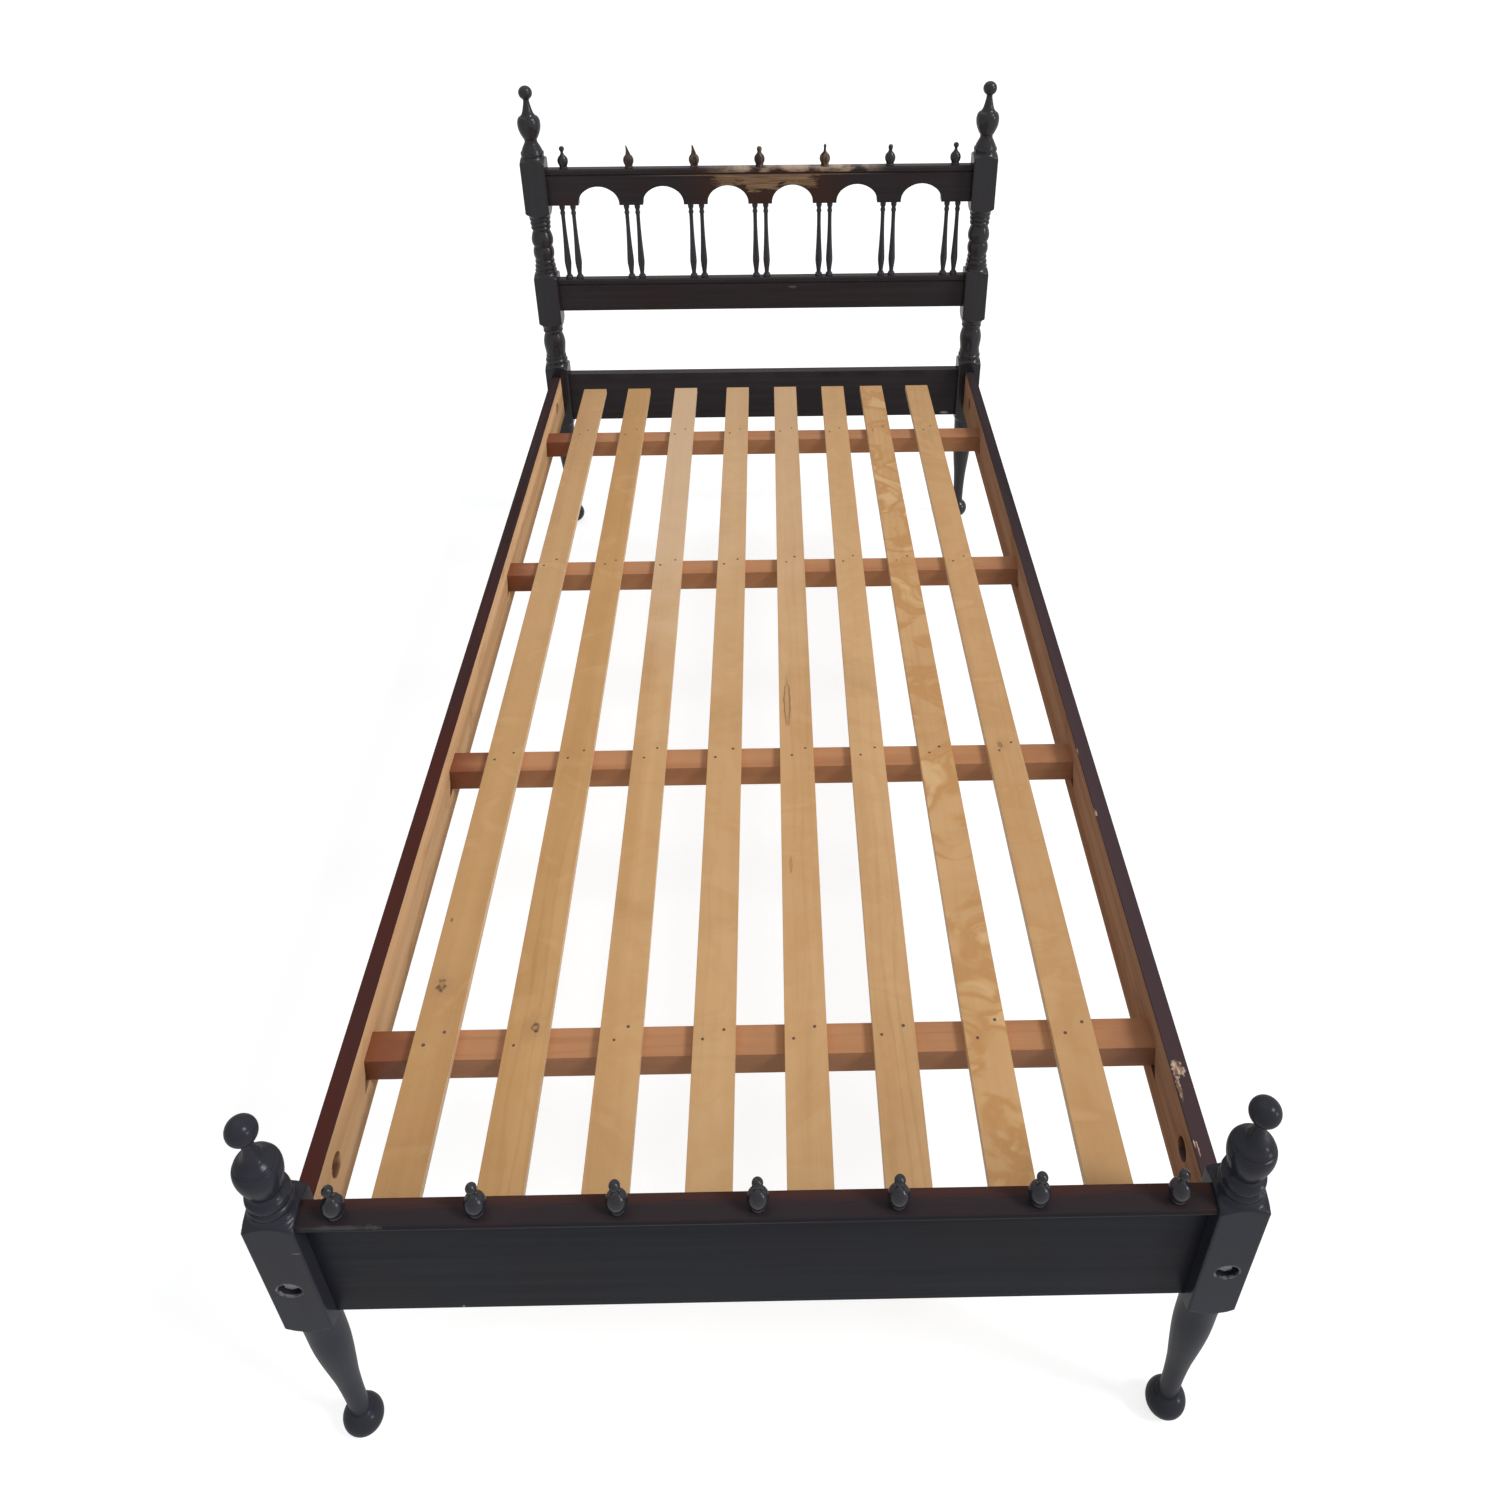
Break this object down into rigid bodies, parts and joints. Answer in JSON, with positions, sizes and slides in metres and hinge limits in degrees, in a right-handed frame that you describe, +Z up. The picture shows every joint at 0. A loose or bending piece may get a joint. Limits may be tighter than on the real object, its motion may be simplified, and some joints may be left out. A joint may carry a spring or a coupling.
{
  "type": "spindle bed",
  "caption": "Single bed frame with turned posts, an arcaded headboard rail on paired spindles, low panels with small finials, and lengthwise slats nailed on crossbars.",
  "frame": {"origin": "on the floor, under the middle of the bed", "axes": "+X across the bed to the right as seen from the foot, +Y from the foot to the head, +Z up"},
  "size_m": [0.99, 2.004, 1.04],
  "materials": {
    "stained_wood": "dark stained and waxed, worn on the edges",
    "slat_wood": "planed, unfinished softwood",
    "bar_wood": "planed, unfinished softwood",
    "blackened_steel": "blackened"
  },
  "bodies": {
    "root": {"foot_post_left": "stained_wood", "foot_post_right": "stained_wood", "head_post_left": "stained_wood", "head_post_right": "stained_wood", "head_lower_rail": "stained_wood", "head_top_rail": "stained_wood", "head_panel": "stained_wood", "spindle_01": "stained_wood", "spindle_02": "stained_wood", "spindle_03": "stained_wood", "spindle_04": "stained_wood", "spindle_05": "stained_wood", "spindle_06": "stained_wood", "spindle_07": "stained_wood", "spindle_08": "stained_wood", "spindle_09": "stained_wood", "spindle_10": "stained_wood", "spindle_11": "stained_wood", "spindle_12": "stained_wood", "spindle_13": "stained_wood", "spindle_14": "stained_wood", "head_finials_whole": "stained_wood", "head_finials_worn": "stained_wood", "foot_finials": "stained_wood", "foot_rail": "stained_wood", "foot_rail_cap": "stained_wood", "side_rail_left": "stained_wood", "side_rail_right": "stained_wood", "crossbar_1": "bar_wood", "crossbar_2": "bar_wood", "crossbar_3": "bar_wood", "crossbar_4": "bar_wood", "slat_1": "slat_wood", "slat_2": "slat_wood", "slat_3": "slat_wood", "slat_4": "slat_wood", "slat_5": "slat_wood", "slat_6": "slat_wood", "slat_7": "slat_wood", "slat_8": "slat_wood", "bolt_foot_left": "blackened_steel", "nut_foot_left": "blackened_steel", "bolt_foot_right": "blackened_steel", "nut_foot_right": "blackened_steel", "bolt_head_left": "blackened_steel", "nut_head_left": "blackened_steel", "bolt_head_right": "blackened_steel", "nut_head_right": "blackened_steel"}
  },
  "joints": []
}
